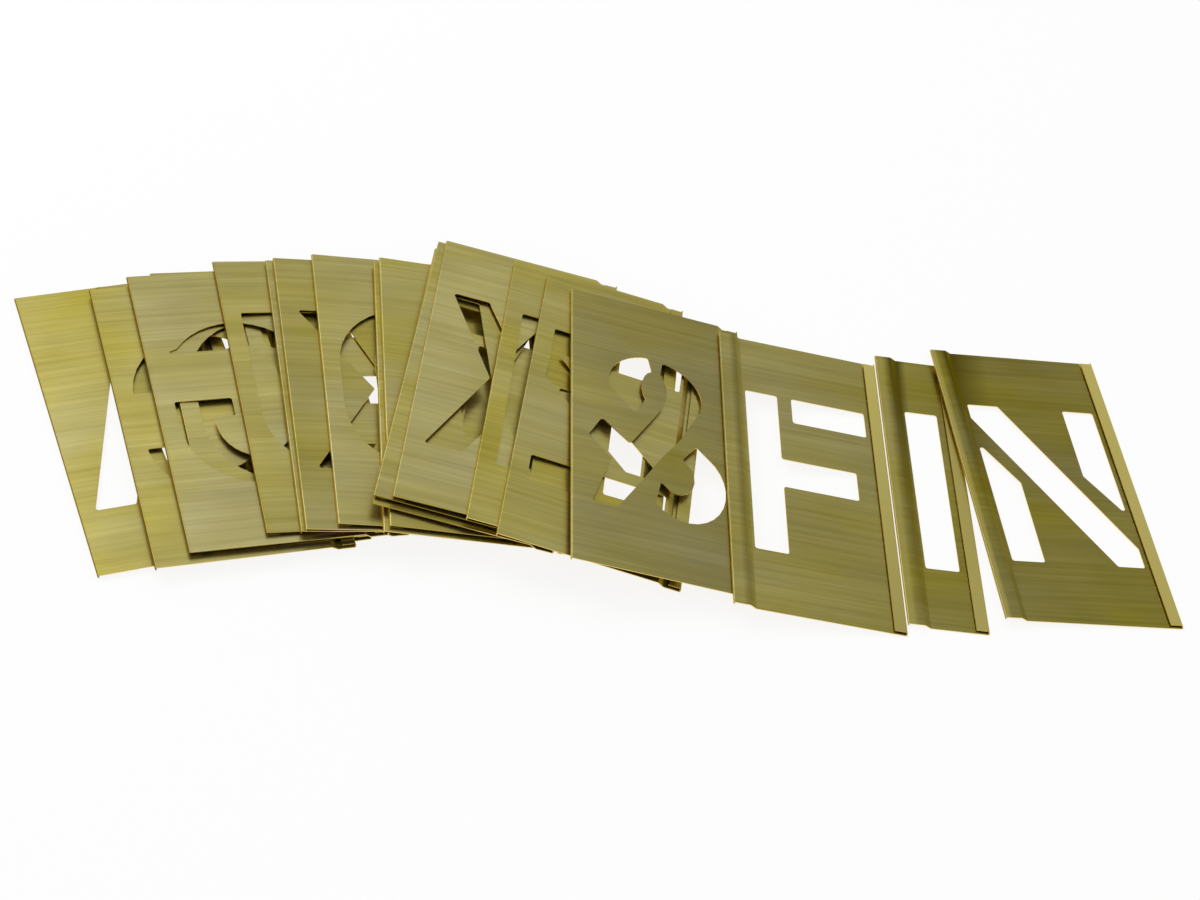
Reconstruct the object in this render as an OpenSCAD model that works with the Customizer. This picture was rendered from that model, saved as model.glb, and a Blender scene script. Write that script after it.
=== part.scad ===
// Interlocking sheet brass lettering stencils: twenty loose plates fanned out in a row.
// Each plate is one strip of thin brass with a character cut through it, a raised pocket
// folded along its left edge and a low hem folded along its right edge.
// Millimetres, +Z up, the row rests on the plane z = 0 and runs along +X.

/* [Plate] */
// Height of every plate, along its folded edges
plate_h = 130; // [120:1:140]
// Width of the plates that hold the wide characters
plate_w = 65.4; // [60:0.1:72]
// Thickness of the brass sheet
sheet_t = 0.3; // [0.25:0.01:0.35]
// Clear gap left inside a fold for the neighbour's hem
fold_gap = 0.15; // [0.12:0.01:0.2]
// Width of the raised pocket along the left edge
pocket_w = 6; // [5:0.1:6.5]
// Run of the slope from the raised pocket down to the flat panel
slope_w = 2.3; // [1.5:0.1:2.6]
// Length of the turned-back lip of each fold
lip_len = 4.6; // [3:0.1:4.8]
// How far each lip stops short of the plate's top and bottom edges
lip_relief = 0.8; // [0.5:0.1:4]

/* [Lettering] */
// Height of the characters
char_h = 76.2; // [60:0.1:90]
// Width of the strokes
stroke = 12.2; // [9:0.1:13]
// Width of the bridges that hold the inner pieces of a character
bridge = 5.3; // [3:0.1:7]
// Half the straight side of the round characters
round_flat = 10; // [6:0.5:14]
// Radius of the corners of the openings
corner_r = 0.9; // [0.3:0.1:1.5]
// Plain margin from the left edge to the character
margin_left = 9.2; // [8.5:0.1:11]
// Plain margin from the character to the right edge
margin_right = 6.4; // [6:0.1:8]

/* [Hidden] */
// Outer radius of a fold: the sheet goes round a gap of one sheet and two clearances
fold_r = (3 * sheet_t + 2 * fold_gap) / 2;
fold_h = 2 * fold_r;
// Height of the raised pocket: a neighbour's folded hem slides under it
pocket_h = 4 * sheet_t + 3 * fold_gap;
half_h = char_h / 2;
// The row keeps its fan when the plates change width: its places are those of plates 65.4 wide
spread = plate_w / 65.4;
// Centre of the row's outline, so that the origin lies under the middle of the row
row_centre = [-0.935, -0.153];
// Points per quarter turn on the round characters
arc_n = 8;
brass = [0.66, 0.6, 0.34];

// One row per plate, from the bottom of the pile to the loose plates at the right:
// node, character, how much narrower it is than plate_w, x and y of the middle of its left edge,
// turn in plan, rise of its left and right edges in fold heights, and 1 for a plate lying face down
PLATES = [
    ["plate_letter_a", "A", 0, -177.5, -54, 31.5, 1, 1.45, 1],
    ["plate_letter_s", "S", 0, -154.5, -41.5, 29.5, 2.45, 1.4, 1],
    ["plate_letter_c", "C", 0, -157.5, -46, 28, 3.65, 3.05, 1],
    ["plate_letter_q", "Q", 0, -141.5, -32.5, 26.5, 4.75, 2.7, 1],
    ["plate_letter_g", "G", 0, -148, -37.5, 27, 5.2, 4.6, 1],
    ["plate_letter_u", "U", 0, -124.5, -21.5, 24.5, 6.25, 3.9, 1],
    ["plate_letter_e", "E", 6, -110.5, -16.5, 21, 7, 4.85, 1],
    ["plate_letter_k", "K", 0, -108.5, -16, 20.5, 8.15, 4.9, 1],
    ["plate_letter_o", "O", 0, -97.5, -10.5, 19, 8.85, 4.45, 1],
    ["plate_letter_r", "R", 0, -79, -8, 15.5, 9.1, 3.4, 1],
    ["plate_letter_l", "L", 0, -77.5, -6, 15.5, 10.05, 4.35, 1],
    ["plate_letter_t", "T", 4, -72, 2, 4, 11.6, 6.75, 1],
    ["plate_letter_v", "V", 0, -72, 4.5, 3.5, 12.75, 7.6, 1],
    ["plate_letter_x", "X", 0, -67.5, 5, 5, 13.65, 8.5, 1],
    ["plate_letter_h", "H", 0, -42, 4.5, 4.5, 12.95, 6.1, 1],
    ["plate_letter_z", "Z", 1.4, -30, 1, 3.5, 13.05, 5.25, 1],
    ["plate_ampersand", "&", 0, -12.5, -2.5, 10.5, 13.1, 4.05, 1],
    ["plate_letter_f", "F", 4.2, 43.1, 3.1, 10, 5.1, 0, 0],
    ["plate_letter_i", "I", 36.8, 102.7, 18.2, 10, 0, 0, 0],
    ["plate_letter_n", "N", 0, 129.2, 29, 15.5, 1.25, 0, 0]
];

// Points along an ellipse, from angle a0 to angle a1
function arc(cx, cy, rx, ry, a0, a1, n = arc_n) =
    [for (i = [0:n]) let (a = a0 + (a1 - a0) * i / n) [cx + rx * cos(a), cy + ry * sin(a)]];

function box(x0, y0, x1, y1) = [[x0, y0], [x1, y0], [x1, y1], [x0, y1]];

function unit(v) = v / norm(v);

// A corner b between its neighbours a and c, rounded when it turns by more than 25 degrees
function rounded(a, b, c, r) =
    let (
        p = unit(a - b),
        q = unit(c - b),
        half = acos(max(-1, min(1, p * q))) / 2,
        d = min(r / tan(half), 0.45 * min(norm(a - b), norm(c - b))),
        rr = d * tan(half),
        centre = b + unit(p + q) * d / cos(half)
    )
    half > 77 ? [b] : [for (s = [0:0.25:1]) centre + rr * unit((1 - s) * (b + p * d) + s * (b + q * d) - centre)];

function soften(pts, r) =
    let (n = len(pts))
    [for (i = [0:n - 1]) each rounded(pts[(i + n - 1) % n], pts[i], pts[(i + 1) % n], r)];

// Half of a round character: a band with straight sides between two quarter turns.
// side is -1 for the left half and 1 for the right half
function round_half(w, side, cut) =
    let (
        cx = w / 2,
        cy = round_flat,
        ry = half_h - cy,
        x_cut = cx + side * cut,
        in_x = side * (w / 2 - stroke),
        outer = concat(arc(cx, cy, side * cx, ry, 80, 0), arc(cx, -cy, side * cx, ry, 0, -80)),
        inner = concat(arc(cx, -cy, in_x, ry - stroke, -72, 0), arc(cx, cy, in_x, ry - stroke, 0, 72))
    )
    concat([[x_cut, half_h]], outer, [[x_cut, -half_h]], [[x_cut, stroke - half_h]], inner, [[x_cut, half_h - stroke]]);

function stem(x) = box(x, -half_h, x + stroke, half_h);

// Openings of each character, as a list of outlines inside a box w wide
// The bar is joined to the left leg, and a bridge holds the middle between it and the right leg
function glyph_a(w) =
    let (
        foot = 1.09 * stroke,
        reach = 1,
        tip = 2,
        lean = (w / 2 + reach - tip) / char_h,
        crotch = -half_h + (w / 2 + reach - foot) / lean,
        bar_lo = -half_h + 10.6,
        bar_hi = bar_lo + 0.98 * stroke,
        bar_end = w + reach - foot - lean * (10.6 + 0.49 * stroke) - bridge
    )
    [
        [
            [-reach, -half_h], [foot - reach, -half_h], [foot - reach + lean * (bar_lo + half_h), bar_lo],
            [bar_end, bar_lo], [bar_end, bar_hi], [foot - reach + lean * (bar_hi + half_h), bar_hi],
            [w / 2, crotch], [w + reach - foot, -half_h], [w + reach, -half_h],
            [w / 2 + tip, half_h], [w / 2 - tip, half_h]
        ]
    ];

// Two bowls of one height, the upper one open at the right and the lower one at the left
function glyph_s(w) =
    let (
        cx = w / 2,
        ry = (half_h + stroke / 2) / 2,
        cy = half_h - ry,
        in_x = cx - stroke,
        in_y = ry - stroke,
        end = 38
    )
    [
        concat(
            arc(cx, cy, cx, ry, end, 270, 2 * arc_n),
            arc(cx, -cy, in_x, in_y, 80, end - 180, 2 * arc_n),
            arc(cx, -cy, cx, ry, end + 180, 450, 2 * arc_n),
            arc(cx, cy, in_x, in_y, 260, end, 2 * arc_n)
        )
    ];

function glyph_c(w, low_cut, high_cut) =
    let (cx = w / 2, cy = round_flat, ry = half_h - cy, in_x = cx - stroke, in_y = ry - stroke)
    [
        concat(
            [[w, high_cut]],
            arc(cx, cy, cx, ry, asin((high_cut + 2 - cy) / ry), 180, 2 * arc_n),
            arc(cx, -cy, cx, ry, 180, 360 + asin((low_cut + cy) / ry), 2 * arc_n),
            [[w - stroke, low_cut]],
            arc(cx, -cy, in_x, in_y, 360 + asin((low_cut - 2 + cy) / in_y), 180, 2 * arc_n),
            arc(cx, cy, in_x, in_y, 180, asin((high_cut - cy + 1) / in_y), 2 * arc_n),
            [[w - stroke, high_cut]]
        )
    ];

function glyph_o(w) = [round_half(w, -1, bridge / 2), round_half(w, 1, bridge / 2)];

function glyph_q(w) =
    concat(
        [round_half(w, -1, bridge / 2), round_half(w, 1, bridge / 2)],
        [[[w / 2 + 3, -half_h + 26], [w / 2 + 10, -half_h + 26], [w / 2 + 14, -half_h + 18], [w / 2 + 7, -half_h + 16]]]
    );

// The letter with a short bar in its mouth
function glyph_g(w) =
    let (
        cx = w / 2,
        cy = round_flat,
        ry = half_h - cy,
        in_x = cx - stroke,
        in_y = ry - stroke,
        bar_hi = 1.7,
        bar_lo = bar_hi - 0.7 * stroke,
        bar_x = cx + 5.5
    )
    [
        concat(
            [[w, bar_hi], [bar_x, bar_hi], [bar_x, bar_lo], [w - stroke, bar_lo]],
            arc(cx, -cy, in_x, in_y, -4, -180, 2 * arc_n),
            arc(cx, cy, in_x, in_y, 180, 70),
            [[w - 9.5, 25], [w - 0.5, 25]],
            arc(cx, cy, cx, ry, 38, 180, 2 * arc_n),
            arc(cx, -cy, cx, ry, 180, 360, 2 * arc_n)
        )
    ];

function glyph_u(w) =
    let (cx = w / 2, cy = round_flat, ry = half_h - cy)
    [
        concat(
            [[0, half_h]],
            arc(cx, -cy, cx, ry, 180, 360, 2 * arc_n),
            [[w, half_h], [w - stroke, half_h]],
            arc(cx, -cy, cx - stroke, ry - stroke, 0, -180, 2 * arc_n),
            [[stroke, half_h]]
        )
    ];

function glyph_k(w) =
    let (x = stroke + bridge, lean = 1.15 * stroke)
    [
        stem(0),
        [
            [x, -stroke / 2], [w - lean, half_h], [w, half_h], [x + 0.72 * stroke, 0],
            [w, -half_h], [w - lean, -half_h], [x + 2, -0.9 * stroke]
        ]
    ];

function glyph_h(w) =
    [
        stem(0),
        stem(w - stroke),
        box(stroke + bridge, -stroke / 2, w - stroke - bridge, stroke / 2)
    ];

function glyph_t(w) =
    [
        box(0, half_h - stroke, w, half_h),
        box((w - stroke) / 2, -half_h, (w + stroke) / 2, half_h - stroke - bridge)
    ];

function glyph_l(w) =
    [
        stem(0),
        box(stroke + bridge, -half_h, w, -half_h + stroke)
    ];

function bowl(x, w, low, high) =
    let (r_out = (high - low) / 2, cy = (high + low) / 2, r_in = r_out - stroke, bend = min(r_out, w - x - 2))
    concat(
        [[x, high]],
        arc(w - bend, cy, bend, r_out, 90, -90, 2 * arc_n),
        [[x, low], [x, low + stroke]],
        arc(w - bend, cy, bend - stroke, r_in, -90, 90, 2 * arc_n),
        [[x, high - stroke]]
    );

function glyph_r(w) =
    let (x = stroke + bridge, waist = -4)
    [
        stem(0),
        bowl(x, w, waist, half_h),
        [[x + 8, waist - bridge], [x + 8 + stroke, waist - bridge], [w, -half_h], [w - 1.1 * stroke, -half_h]]
    ];

function glyph_v(w) =
    let (foot = 1.09 * stroke, tip = 3.5, lean = (w / 2 - tip) / char_h)
    [
        [
            [0, half_h], [foot, half_h], [w / 2, half_h - (w / 2 - foot) / lean], [w - foot, half_h],
            [w, half_h], [w / 2 + tip, -half_h], [w / 2 - tip, -half_h]
        ]
    ];

function glyph_x(w) =
    let (foot = 1.09 * stroke, cross = 0.55 * stroke)
    [
        [
            [0, half_h], [foot, half_h], [w / 2, 1.3 * stroke], [w - foot, half_h], [w, half_h],
            [w / 2 + cross, 0],
            [w, -half_h], [w - foot, -half_h], [w / 2, -1.3 * stroke], [foot, -half_h], [0, -half_h],
            [w / 2 - cross, 0]
        ]
    ];

// A stem with the middle arm joined to it, and the top arm behind a bridge
function glyph_f(w) =
    let (half = 0.55 * stroke, arm = 0.88 * w)
    [
        [
            [0, -half_h], [stroke, -half_h], [stroke, -half], [arm, -half],
            [arm, half], [stroke, half], [stroke, half_h], [0, half_h]
        ],
        box(stroke + bridge, half_h - stroke, w, half_h)
    ];

function glyph_e(w) = concat(glyph_f(w), [box(stroke + bridge, -half_h, w, -half_h + stroke)]);

// The top bar runs into the diagonal, and a bridge parts it from the bottom bar
function glyph_z(w) =
    let (foot = 1.25 * stroke, low = -half_h + stroke + bridge, top = half_h - stroke, lean = (w - 2.5) / (top - low))
    [
        [[0, half_h], [0, top], [w - 2.5, top], [0, low], [foot, low], [w, low + (w - foot) / lean], [w, half_h]],
        box(0, -half_h, w, -half_h + stroke)
    ];

function glyph_n(w) =
    let (foot = 0.98 * stroke)
    [
        [[0, half_h], [foot, half_h], [w, -half_h + 9], [w, -half_h], [w - 0.85 * foot, -half_h], [0, half_h - 7]],
        [[0, -half_h], [stroke, -half_h], [stroke, -0.4], [0, 18.4]],
        [[w, half_h], [w - stroke, half_h], [w - stroke, 5], [w, -13]]
    ];

// The ampersand, drawn on a box 50 wide and scaled to the plate's own box
function glyph_and(w) =
    let (
        sx = w / 50,
        sy = half_h / 38.1,
        crescent = concat(
            arc(25.2, 21.8, 17.3, 16.4, 83, -8, 10),
            [[32.9, 8.9]],
            [[30.6, 12.1]],
            arc(25.2, 22.6, 4.8, 8.8, -40, 80, 6)
        ),
        sweep = concat(
            arc(25.2, 21.3, 18, 16.2, 101, 196, 10),
            [[13.7, 5.4], [16.4, 0], [23.2, -10], [29.8, -21.4], [40, -38.1], [49.2, -38.1]],
            [[41.8, -16.2], [50, -6.9], [45.1, 2.5], [37.8, -4.4], [34.9, -7], [25.7, 8.3], [22.5, 14]],
            arc(25.2, 22.6, 4.7, 8.8, 210, 120, 5)
        ),
        bowl_band = concat(
            [[10, -1]],
            arc(15, -20, 15, 18.1, 140, 318, 14),
            [[24, -21.9]],
            arc(17.9, -17.4, 6.4, 8.6, -40, -235, 9),
            [[15.7, -8.9]]
        )
    )
    [for (shape = [crescent, sweep, bowl_band]) [for (p = shape) [p[0] * sx, p[1] * sy]]];

function openings(c, w) =
    c == "A" ? glyph_a(w) :
    c == "S" ? glyph_s(w) :
    c == "C" ? glyph_c(w, -13.7, 12) :
    c == "Q" ? glyph_q(w) :
    c == "G" ? glyph_g(w) :
    c == "U" ? glyph_u(w) :
    c == "K" ? glyph_k(w) :
    c == "H" ? glyph_h(w) :
    c == "O" ? glyph_o(w) :
    c == "R" ? glyph_r(w) :
    c == "L" ? glyph_l(w) :
    c == "T" ? glyph_t(w) :
    c == "V" ? glyph_v(w) :
    c == "X" ? glyph_x(w) :
    c == "E" ? glyph_e(w) :
    c == "Z" ? glyph_z(w) :
    c == "F" ? glyph_f(w) :
    c == "N" ? glyph_n(w) :
    c == "I" ? [stem(0)] :
    glyph_and(w);

// Cross-section of a fold: the sheet turns back on itself, closed end at the left
module fold_section() {
    inner_r = fold_r - sheet_t;
    difference() {
        union() {
            translate([fold_r, 0]) circle(r = fold_r, $fn = 32);
            translate([fold_r, -fold_r]) square([lip_len - fold_r, fold_h]);
        }
        translate([fold_r, 0]) circle(r = inner_r, $fn = 32);
        translate([fold_r, -inner_r]) square([lip_len, 2 * inner_r]);
    }
}

// Cross-section of a whole plate: pocket, slope, flat panel and hem
module plate_section(w) {
    foot = pocket_w + slope_w - 0.15;
    top = pocket_h - sheet_t;
    translate([0, pocket_h - fold_r]) fold_section();
    polygon([
        [lip_len - 0.5, top], [pocket_w - 0.15, top], [foot, 0],
        [w - lip_len + 0.5, 0], [w - lip_len + 0.5, sheet_t],
        [foot + 0.15, sheet_t], [pocket_w, pocket_h], [lip_len - 0.5, pocket_h]
    ]);
    translate([w, fold_r]) mirror([1, 0]) fold_section();
}

// Space at both ends of a fold's free lip, which stops short of the plate's ends
module lip_reliefs(x, z) {
    for (side = [-1, 1]) {
        translate([x, side * plate_h / 2 - lip_relief, z]) cube([lip_len, 2 * lip_relief, sheet_t + fold_gap]);
    }
}

// One plate, face up, left edge at x = 0 and the panel's underside at z = 0
module plate(character, w) {
    difference() {
        rotate([90, 0, 0]) linear_extrude(height = plate_h, center = true) plate_section(w);
        translate([margin_left, 0, -1]) linear_extrude(height = pocket_h + 2) {
            for (shape = openings(character, w - margin_left - margin_right)) {
                polygon(soften(shape, corner_r));
            }
        }
        lip_reliefs(fold_r, pocket_h - fold_h - fold_gap);
        lip_reliefs(w - fold_r - lip_len, fold_h - sheet_t);
    }
}

// A plate set down in the row, on its back or on its face
module laid_plate(p) {
    w = plate_w - p[2];
    tilt = asin((p[6] - p[7]) * fold_h / w);
    color(brass)
    translate([p[3] * spread - row_centre[0], p[4] * spread - row_centre[1], p[6] * fold_h])
    rotate([0, tilt, p[5]])
    translate([p[8] * w, 0, 0])
    rotate([0, 180 * p[8], 0])
    plate(p[1], w);
}

for (p = PLATES) {
    laid_plate(p);
}
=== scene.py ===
import math

import bpy
from mathutils import Matrix, Vector

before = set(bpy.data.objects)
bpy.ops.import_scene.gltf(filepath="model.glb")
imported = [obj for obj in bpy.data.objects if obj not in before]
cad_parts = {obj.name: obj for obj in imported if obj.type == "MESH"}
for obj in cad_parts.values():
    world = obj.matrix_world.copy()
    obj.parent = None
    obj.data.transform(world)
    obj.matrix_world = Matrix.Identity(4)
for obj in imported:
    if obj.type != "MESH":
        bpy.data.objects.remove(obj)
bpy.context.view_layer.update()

MM = 0.001
WHITE = (1, 1, 1, 1)

# Plates from the bottom of the pile to the loose ones, with sizes in mm as in the part's source:
# node, width, x and y of the middle of the left edge, turn in degrees, rise of the left and of the
# right edge in folds, 1 if face down, tone of the brass with painted shade that darkens the row towards
# its right end, seed of its noise
PLATE_H = 130
FOLD_H = 1.2
ROW_CENTRE = (-0.935, -0.153)
PLATES = [
    ("plate_letter_a", 65.4, -177.5, -54.0, 31.5, 1.0, 1.45, 1, 0.9, 1),
    ("plate_letter_s", 65.4, -154.5, -41.5, 29.5, 2.45, 1.4, 1, 0.9, 20),
    ("plate_letter_c", 65.4, -157.5, -46.0, 28.0, 3.65, 3.05, 1, 0.95, 2),
    ("plate_letter_q", 65.4, -141.5, -32.5, 26.5, 4.75, 2.7, 1, 0.95, 3),
    ("plate_letter_g", 65.4, -148.0, -37.5, 27.0, 5.2, 4.6, 1, 0.96, 4),
    ("plate_letter_u", 65.4, -124.5, -21.5, 24.5, 6.25, 3.9, 1, 0.93, 5),
    ("plate_letter_e", 59.4, -110.5, -16.5, 21.0, 7.0, 4.85, 1, 0.92, 6),
    ("plate_letter_k", 65.4, -108.5, -16.0, 20.5, 8.15, 4.9, 1, 0.84, 7),
    ("plate_letter_o", 65.4, -97.5, -10.5, 19.0, 8.85, 4.45, 1, 0.98, 8),
    ("plate_letter_r", 65.4, -79.0, -8.0, 15.5, 9.1, 3.4, 1, 0.98, 9),
    ("plate_letter_l", 65.4, -77.5, -6.0, 15.5, 10.05, 4.35, 1, 0.98, 10),
    ("plate_letter_t", 61.4, -72.0, 2.0, 4.0, 11.6, 6.75, 1, 1.0, 11),
    ("plate_letter_v", 65.4, -72.0, 4.5, 3.5, 12.75, 7.6, 1, 1.0, 12),
    ("plate_letter_x", 65.4, -67.5, 5.0, 5.0, 13.65, 8.5, 1, 1.0, 13),
    ("plate_letter_h", 65.4, -42.0, 4.5, 4.5, 12.95, 6.1, 1, 0.94, 14),
    ("plate_letter_z", 64.0, -30.0, 1.0, 3.5, 13.05, 5.25, 1, 0.9, 15),
    ("plate_ampersand", 65.4, -12.5, -2.5, 10.5, 13.1, 4.05, 1, 0.76, 16),
    ("plate_letter_f", 61.2, 43.1, 3.1, 10.0, 5.1, 0.0, 0, 0.76, 17),
    ("plate_letter_i", 28.6, 102.7, 18.2, 10.0, 0.0, 0.0, 0, 0.61, 18),
    ("plate_letter_n", 65.4, 129.2, 29.0, 15.5, 1.25, 0.0, 0, 0.53, 19),
]

# Colours of the brass: the sheet's three shades, then what painted shade, painted highlight, painted
# sheen and clean metal turn it to
DARK = (0.262, 0.225, 0.060)
MID = (0.342, 0.299, 0.091)
LIGHT = (0.426, 0.377, 0.129)
RIGHT_EDGE_SHADE = (0.06, 0.05, 0.012)
FOLD_HIGHLIGHT = (0.60, 0.50, 0.17)
HEM_POCKET_SHEEN = (0.42, 0.36, 0.11)
SLOPE_SHADE = (0.055, 0.042, 0.006)
CLEAN = (0.85, 0.64, 0.19)
OUTER_SHADE = (0.24, 0.16, 0.02)
BEND_SHADE = (0.12, 0.07, 0.004)
TINT = (0.95, 0.85, 0.45, 1)

# Noise in the frame of the plate: scale along X, Y and Z, shift, detail, roughness, distortion
NOISES = {
    "grain": ((14, 2600, 900), 0.0, 3.0, 0.6, 0.0),
    "streak": ((11, 640, 160), 3.1, 4.0, 0.66, 0.0),
    "band": ((8, 85, 40), 7.7, 3.0, 0.55, 0.4),
    "blotch": ((24, 30, 26), 1.3, 3.0, 0.5, 0.3),
    "haze": ((17, 34, 20), 11.3, 2.0, 0.5, 0.2),
}
SEED_SHIFT = (3.7, 5.3, 1.9)
SHADE_MIX = {"streak": 0.46, "band": 0.26, "blotch": 0.28}
SHADE_STOPS = (0.34, 0.5, 0.66)
HAZE_RANGE = 0.6
ROUGH_LEAST = 0.20
ROUGH_MIX = {"grain": 0.16, "blotch": 0.14}
BUMP_STRENGTH = 0.16
BUMP_MM = 0.04

# How rich the colour of a plate is, where it isn't 1
RICHNESS = {
    "plate_letter_g": 0.88, "plate_letter_o": 0.92, "plate_letter_x": 0.94, "plate_letter_h": 1.08,
    "plate_ampersand": 0.94, "plate_letter_i": 1.06, "plate_letter_n": 1.08,
}
# Painted shade: how far a plate darkens from its left edge to its right edge
RIGHT_EDGE_SHADES = {"plate_ampersand": 0.34, "plate_letter_f": 0.1}
# How clean the outer side of the left fold is, and so how little painted shade it takes; the plates at
# the left end of the row take painted shade there
OUTER_CLEAN_UNSHADED = {
    "plate_letter_a": 0.0, "plate_letter_s": 0.1, "plate_letter_c": 0.05, "plate_letter_q": 0.1,
    "plate_letter_g": 0.0, "plate_letter_u": 0.1, "plate_letter_e": 0.6, "plate_letter_k": 0.6,
}
USUAL_OUTER_CLEAN_UNSHADED = 0.85
# How pale the painted highlight on the folds and at the left edge is; below 0 the bend at the left edge
# takes painted shade instead, darker than the plate and amber
BEND_HIGHLIGHTS_AND_SHADES = {
    "plate_letter_a": -0.45, "plate_letter_s": -0.5, "plate_letter_c": -0.6, "plate_letter_q": -0.5,
    "plate_letter_g": -0.65, "plate_letter_u": -0.6, "plate_letter_e": -0.3, "plate_letter_k": -0.15,
    "plate_letter_o": -0.15, "plate_letter_r": -0.1, "plate_letter_l": 0.0, "plate_letter_t": -0.15,
    "plate_letter_v": -0.06, "plate_letter_x": -0.08, "plate_letter_h": -0.06, "plate_letter_z": -0.08,
    "plate_ampersand": 0.3, "plate_letter_f": 0.0, "plate_letter_i": 0.2, "plate_letter_n": -0.3,
}
# Widths at the left edge, in mm: the bend, its rim with painted highlight and the outer side, with their
# soft edges
BEND_W = 0.8
RIM_W = 0.9
EDGE_SOFT = 0.25
OUTER_W = 0.3
OUTER_SOFT = 0.125
OUTER_SHADE_STRENGTH = 0.8

# Painted highlight on the folds: where their faces lean away from the face of the plate, and how strong
# it is
LEAN_START = 0.985
LEAN_RANGE = 0.2
LEAN_HIGHLIGHT = 0.85
RIM_HIGHLIGHT = 0.6
FOLD_HIGHLIGHT_LEAST = 0.4
FOLD_HIGHLIGHT_BY_TONE = 0.6
# Faces that lean more than this are cut edges, sides and undersides
SIDE_START = 0.55
SIDE_RANGE = 0.25

# The slope beside the pocket takes no painted highlight; it shows only on the plates that lie face up
SLOPE_START = 5.5
SLOPE_END = 9.0
SLOPE_SOFT = 0.5
# The hem: its width and soft edge, how much painted sheen it takes, and how pale that sheen is at its
# lower and its upper end
HEM_W = 4.9
HEM_SOFT = 0.333
HEM_SHEEN_SHARE = 0.9
HEM_SHINE = {"plate_letter_f": (0.8, 1.14), "plate_letter_i": (0.9, 0.82), "plate_letter_n": (1.02, 1.14)}
# The pocket: the width of its outer side with painted sheen and its soft edge, and how strong that sheen
# is
POCKET_SHINE_W = {"plate_letter_f": 0.5, "plate_letter_i": 3.6, "plate_letter_n": 2.6}
POCKET_SOFT = 1.43
POCKET_SHEEN_SHARE = 0.5
# Painted shade on the slope beside the pocket and past it: its strength at the lower and the upper end,
# its reach there, its soft edge
SLOPE_SHADE_SETTINGS = {
    "plate_letter_f": (0.45, 0.5, 8.4, 8.9, 3.0),
    "plate_letter_i": (0.2, 0.95, 8.6, 12.0, 3.0),
    "plate_letter_n": (0.3, 1.0, 8.6, 22.0, 14.0),
}
SLOPE_SHADE_START = 3.4
SLOPE_SHADE_START_SOFT = 2.22


class Nodes:
    """Adds nodes to the tree of a material or a world, and links them."""

    def __init__(self, owner, output):
        owner.use_nodes = True
        self.tree = owner.node_tree
        self.tree.nodes.clear()
        self.out = self.tree.nodes.new(output)

    def add(self, kind, **sockets):
        """A node whose inputs are given by name, or by number as i0, i1 and so on."""
        node = self.tree.nodes.new(kind)
        for key, value in sockets.items():
            numbered = key[0] == "i" and key[1:].isdigit()
            socket = node.inputs[int(key[1:]) if numbered else key.replace("_", " ")]
            if isinstance(value, bpy.types.NodeSocket):
                self.tree.links.new(value, socket)
            else:
                socket.default_value = value
        return node

    def math(self, op, a, b=0.0, clamp=False):
        node = self.add("ShaderNodeMath", i0=a, i1=b)
        node.operation = op
        node.use_clamp = clamp
        return node.outputs[0]

    def total(self, start, parts, weights):
        """The start plus each named part times its weight."""
        for key, weight in weights.items():
            start = self.math("ADD", start, self.math("MULTIPLY", parts[key], weight))
        return start

    def before(self, place, edge, soft):
        """1 before the edge, falling to 0 at it over the soft width, both in mm."""
        return self.math("DIVIDE", self.math("SUBTRACT", edge * MM, place), soft * MM, clamp=True)

    def after(self, place, edge, soft):
        """0 up to the edge, rising to 1 over the soft width, both in mm."""
        return self.math("DIVIDE", self.math("SUBTRACT", place, edge * MM), soft * MM, clamp=True)

    def mix(self, share, one, other):
        """One colour with a share of the other, as a colour or a socket each."""
        one, other = (c if isinstance(c, bpy.types.NodeSocket) else (*c, 1) for c in (one, other))
        return self.add("ShaderNodeMixRGB", Fac=share, Color1=one, Color2=other).outputs["Color"]

    def ramp(self, share, stops, colours):
        node = self.add("ShaderNodeValToRGB", Fac=share)
        elements = node.color_ramp.elements
        while len(elements) < len(stops):
            elements.new(0.5)
        for element, stop, colour in zip(elements, stops, colours):
            element.position = stop
            element.color = (*colour, 1)
        return node.outputs["Color"]

    def seen_directly(self):
        """1 for what the camera sees itself, mirrored in metal or through glass."""
        path = self.add("ShaderNodeLightPath").outputs
        mirrored = self.math("MAXIMUM", path["Is Glossy Ray"], path["Is Transmission Ray"])
        return self.math("MAXIMUM", path["Is Camera Ray"], mirrored)

    def finish(self, one, other=None, share=0.0):
        """Links a shader, or a mix of two, to the output."""
        if other:
            one = self.add("ShaderNodeMixShader", Fac=share, i1=one.outputs[0], i2=other.outputs[0])
        self.tree.links.new(one.outputs[0], self.out.inputs["Surface"])


def scaled(colour, factor):
    return tuple(channel * factor for channel in colour)


def plate_normal(tilt, yaw):
    """The direction that the flat of a plate faces, after its tilt and its turn."""
    return (math.sin(tilt) * math.cos(yaw), math.sin(tilt) * math.sin(yaw), math.cos(tilt))


def plate_space(n, plate, tilt):
    """Coordinates of the plate: X from its left edge to its right, Y along it, Z up out of it."""
    _, _, x, y, yaw, left, _, _, _, _ = plate
    coords = n.add("ShaderNodeTexCoord").outputs["Object"]
    local = n.add("ShaderNodeMapping", Vector=coords)
    local.vector_type = "TEXTURE"
    local.inputs["Location"].default_value = (
        (x - ROW_CENTRE[0]) * MM, (y - ROW_CENTRE[1]) * MM, left * FOLD_H * MM)
    local.inputs["Rotation"].default_value = (0, tilt, math.radians(yaw))
    return local.outputs["Vector"]


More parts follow.
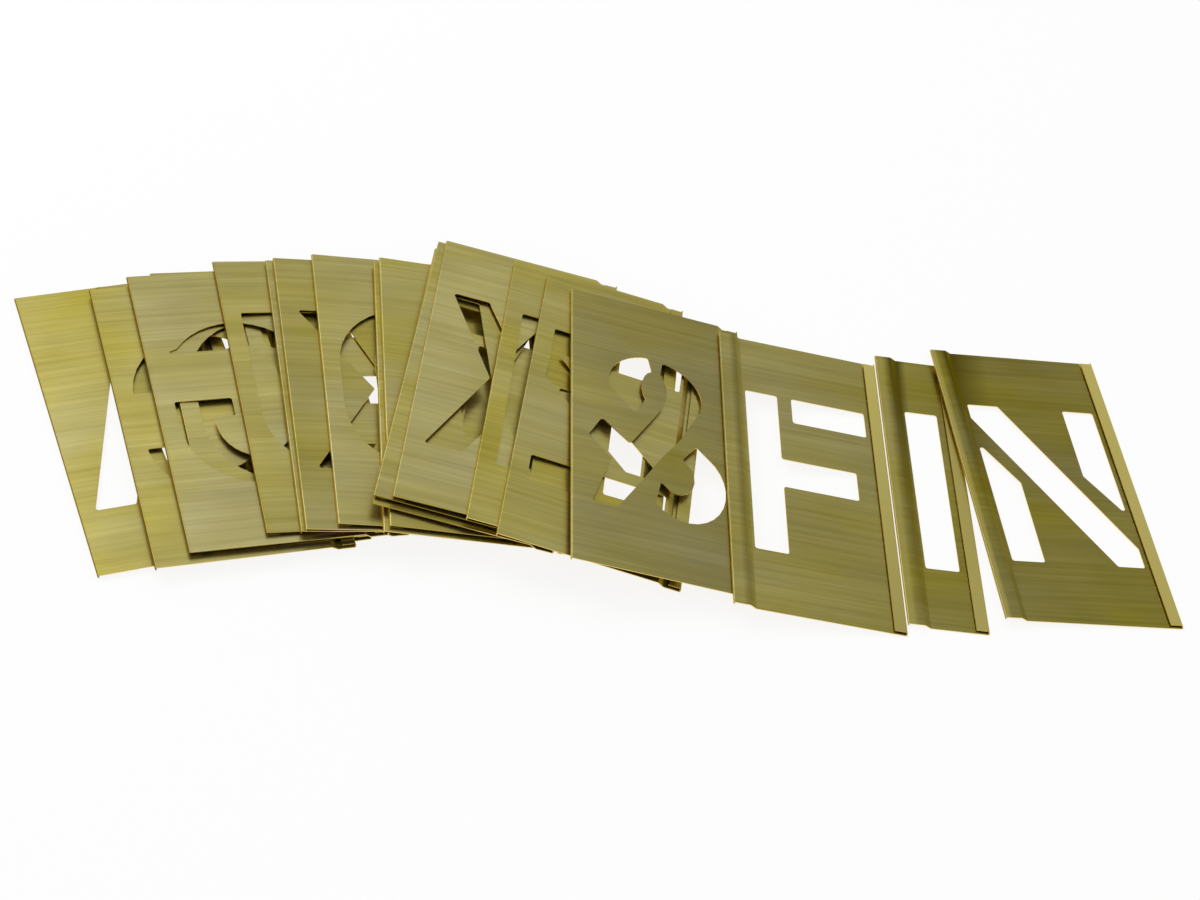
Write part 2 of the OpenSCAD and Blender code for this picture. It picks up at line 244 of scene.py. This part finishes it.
def sheet_noises(n, local, seed):
    """The noises of brushed sheet, whose grain runs across the plate, from hem to pocket."""
    noises = {}
    for key, (scale, shift, detail, rough, distortion) in NOISES.items():
        stretched = n.add("ShaderNodeMapping", Vector=local)
        stretched.inputs["Location"].default_value = (
            seed * SEED_SHIFT[0] + shift, seed * SEED_SHIFT[1] + shift, seed * SEED_SHIFT[2])
        stretched.inputs["Scale"].default_value = scale
        noise = n.add("ShaderNodeTexNoise", Vector=stretched.outputs["Vector"], Scale=1.0, Detail=detail,
                      Roughness=rough, Distortion=distortion)
        noises[key] = noise.outputs["Fac"]
    return noises


def sheen_and_slope_shade(n, name, width, across, along, base):
    """The face of a plate: its hem and pocket take a pale painted sheen, the bend beside the pocket takes
    painted shade.
    """
    upper = n.math("DIVIDE", n.math("ADD", along, PLATE_H / 2 * MM), PLATE_H * MM, clamp=True)
    low_shine, high_shine = HEM_SHINE[name]
    shine = n.mix(upper, scaled(HEM_POCKET_SHEEN, low_shine), scaled(HEM_POCKET_SHEEN, high_shine))
    # Painted sheen on the hem and on the outer side of the pocket
    hem = n.after(across, width - HEM_W, HEM_SOFT)
    pocket = n.before(across, POCKET_SHINE_W[name], POCKET_SOFT)
    sheen_share = n.math("MAXIMUM", n.math("MULTIPLY", hem, HEM_SHEEN_SHARE), n.math("MULTIPLY", pocket, POCKET_SHEEN_SHARE))
    base = n.mix(sheen_share, base, shine)

    # Painted shade on the slope beside the pocket and just past it
    low, high, low_reach, high_reach, soft = SLOPE_SHADE_SETTINGS[name]
    reach = n.math("ADD", n.math("MULTIPLY", upper, (high_reach - low_reach) * MM), low_reach * MM)
    near = n.after(across, SLOPE_SHADE_START, SLOPE_SHADE_START_SOFT)
    far = n.math("DIVIDE", n.math("SUBTRACT", reach, across), soft * MM, clamp=True)
    strength = n.math("ADD", n.math("MULTIPLY", upper, high - low), low)
    slope_shade = n.math("MULTIPLY", n.math("MULTIPLY", near, far), strength)
    return n.mix(slope_shade, base, SLOPE_SHADE)


def brass(plate):
    """Brushed sheet brass of one plate, with its painted shade, painted highlight and painted sheen."""
    name, width, _, _, yaw, left, right, face_down, tone_and_shade, seed = plate
    material = bpy.data.materials.new("brass_" + name)
    n = Nodes(material, "ShaderNodeOutputMaterial")
    tilt = math.asin((left - right) * FOLD_H / width)
    local = plate_space(n, plate, tilt)
    noises = sheet_noises(n, local, seed)

    # The sheet: shades from the noises, and painted shade that darkens it towards the right edge
    shade = n.total(0.0, noises, SHADE_MIX)
    # Each plate's tone darkens its sheet, partly with painted shade towards the right end of the row
    base = n.ramp(shade, SHADE_STOPS, [scaled(colour, tone_and_shade) for colour in (DARK, MID, LIGHT)])
    rich = n.total(RICHNESS.get(name, 1.0) - HAZE_RANGE / 2, noises, {"haze": HAZE_RANGE})
    base = n.add("ShaderNodeHueSaturation", Saturation=rich, Color=base).outputs["Color"]
    place = n.add("ShaderNodeSeparateXYZ", Vector=local).outputs
    across, along = place["X"], place["Y"]
    right_edge_shade = n.math("MULTIPLY", n.math("DIVIDE", across, width * MM), RIGHT_EDGE_SHADES.get(name, 0.0), clamp=True)
    base = n.mix(right_edge_shade, base, RIGHT_EDGE_SHADE)

    # The folds take a pale painted highlight, apart from the slope beside the pocket
    normal = n.add("ShaderNodeNewGeometry").outputs["Normal"]
    facing = n.add("ShaderNodeVectorMath", i0=normal, i1=plate_normal(tilt, math.radians(yaw)))
    facing.operation = "DOT_PRODUCT"
    facing = facing.outputs["Value"]
    pale = max(BEND_HIGHLIGHTS_AND_SHADES[name], 0.0)
    lean = n.math("SUBTRACT", LEAN_START, n.math("ABSOLUTE", facing))
    lean = n.math("DIVIDE", lean, LEAN_RANGE, clamp=True)
    highlight_share = n.math("MULTIPLY", lean, LEAN_HIGHLIGHT * pale)
    if face_down:
        rim = n.before(across, RIM_W, EDGE_SOFT)
        highlight_share = n.math("MAXIMUM", highlight_share, n.math("MULTIPLY", rim, RIM_HIGHLIGHT * pale))
    else:
        beside = n.math("MAXIMUM", n.after(across, SLOPE_END, SLOPE_SOFT),
                        n.before(across, SLOPE_START, SLOPE_SOFT))
        highlight_share = n.math("MULTIPLY", highlight_share, beside)
    base = n.mix(highlight_share, base, scaled(FOLD_HIGHLIGHT, FOLD_HIGHLIGHT_LEAST + FOLD_HIGHLIGHT_BY_TONE * tone_and_shade))
    if not face_down:
        base = sheen_and_slope_shade(n, name, width, across, along, base)

    # Cut edges and faces that look down are clean and golden, and colour the light in the gaps
    outer_clean_unshaded = OUTER_CLEAN_UNSHADED.get(name, USUAL_OUTER_CLEAN_UNSHADED)
    side = n.math("DIVIDE", n.math("SUBTRACT", SIDE_START, facing), SIDE_RANGE, clamp=True)
    outer = n.before(across, OUTER_W, OUTER_SOFT)
    kept = n.math("SUBTRACT", 1.0, n.math("MULTIPLY", outer, 1 - outer_clean_unshaded))
    base = n.mix(n.math("MULTIPLY", side, kept), base, CLEAN)
    # Painted shade on the outer side of the left fold, strongest on the plates at the left end of the row
    base = n.mix(n.math("MULTIPLY", outer, OUTER_SHADE_STRENGTH * (1 - outer_clean_unshaded)), base, OUTER_SHADE)
    # Painted shade, amber, on the bend at the left edge where its value above is below 0
    bend = n.before(across, BEND_W, EDGE_SOFT)
    base = n.mix(n.math("MULTIPLY", bend, max(-BEND_HIGHLIGHTS_AND_SHADES[name], 0.0)), base, BEND_SHADE)

    rough = n.total(ROUGH_LEAST, noises, ROUGH_MIX)
    relief = n.math("ADD", noises["grain"], noises["streak"])
    bump = n.add("ShaderNodeBump", Strength=BUMP_STRENGTH, Distance=BUMP_MM * MM, Height=relief)
    shader = n.add("ShaderNodeBsdfPrincipled", Base_Color=base, Roughness=rough,
                   Normal=bump.outputs["Normal"], Metallic=1.0, Specular_Tint=TINT)
    n.finish(shader)
    return material


def dress_plates():
    for plate in PLATES:
        material = brass(plate)
        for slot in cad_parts[plate[0]].material_slots:
            slot.material = material


# Floor: half its side in m, and its drop in mm, which keeps it out of the plane of the lowest plates
FLOOR_HALF = 4
FLOOR_DROP = 0.3
FLOOR_PAINT = (0.95, 0.95, 0.95, 1)
FLOOR_GLOW = 0.86
ROOM_LIGHT = 0.75


def add_floor():
    """A pale floor that looks white to the camera and keeps the object's shadow."""
    mesh = bpy.data.meshes.new("floor")
    corners = [(-FLOOR_HALF, -FLOOR_HALF), (FLOOR_HALF, -FLOOR_HALF), (FLOOR_HALF, FLOOR_HALF),
               (-FLOOR_HALF, FLOOR_HALF)]
    mesh.from_pydata([(x, y, 0) for x, y in corners], [], [(0, 1, 2, 3)])
    floor = bpy.data.objects.new("floor", mesh)
    floor.location.z = -FLOOR_DROP * MM
    bpy.context.scene.collection.objects.link(floor)
    material = bpy.data.materials.new("floor")
    n = Nodes(material, "ShaderNodeOutputMaterial")
    paint = n.add("ShaderNodeBsdfDiffuse", Color=FLOOR_PAINT)
    glow = n.add("ShaderNodeEmission", Color=WHITE, Strength=1.0)
    n.finish(paint, glow, n.math("MULTIPLY", n.seen_directly(), FLOOR_GLOW))
    mesh.materials.append(material)


def add_room():
    """An even room light, with a white backdrop for the camera."""
    world = bpy.data.worlds.new("studio")
    bpy.context.scene.world = world
    n = Nodes(world, "ShaderNodeOutputWorld")
    room = n.add("ShaderNodeBackground", Color=WHITE, Strength=ROOM_LIGHT)
    backdrop = n.add("ShaderNodeBackground", Color=WHITE, Strength=1.0)
    n.finish(room, backdrop, n.seen_directly())


def add_softbox(name, location, target, size, power):
    data = bpy.data.lights.new(name, "AREA")
    data.shape = "RECTANGLE"
    data.size, data.size_y = size
    data.energy = power
    lamp = bpy.data.objects.new(name, data)
    lamp.location = location
    lamp.rotation_euler = (Vector(target) - Vector(location)).to_track_quat("-Z", "Y").to_euler()
    bpy.context.scene.collection.objects.link(lamp)


# Camera, from the corners of the plates: angles in degrees, distance in mm
ELEVATION = 45
ROLL = 14
DISTANCE = 773.08
FOCAL_PX = 2213
IMAGE_W = 1200
SENSOR = 36.0
NEAREST = 10


def add_camera():
    elevation = math.radians(ELEVATION)
    roll = math.radians(ROLL)
    target = Vector((-ROW_CENTRE[0], -ROW_CENTRE[1], 0)) * MM
    back = Vector((0, -math.cos(elevation), math.sin(elevation)))
    level_right = Vector((1, 0, 0))
    level_up = back.cross(level_right)
    right = level_right * math.cos(roll) + level_up * math.sin(roll)
    up = level_up * math.cos(roll) - level_right * math.sin(roll)
    data = bpy.data.cameras.new("camera")
    data.sensor_width = SENSOR
    data.lens = FOCAL_PX / IMAGE_W * SENSOR
    data.clip_start = NEAREST * MM
    camera = bpy.data.objects.new("camera", data)
    turn = Matrix((right, up, back)).transposed().to_4x4()
    camera.matrix_world = Matrix.Translation(target + back * DISTANCE * MM) @ turn
    bpy.context.scene.collection.objects.link(camera)
    bpy.context.scene.camera = camera


dress_plates()
add_floor()
add_room()
add_softbox("key", location=(-0.9, 0.5, 1.1), target=(0, 0, 0), size=(0.9, 0.7), power=7.0)
add_camera()

scene = bpy.context.scene
scene.view_settings.view_transform = "Standard"
scene.cycles.max_bounces = 16
scene.cycles.glossy_bounces = 12
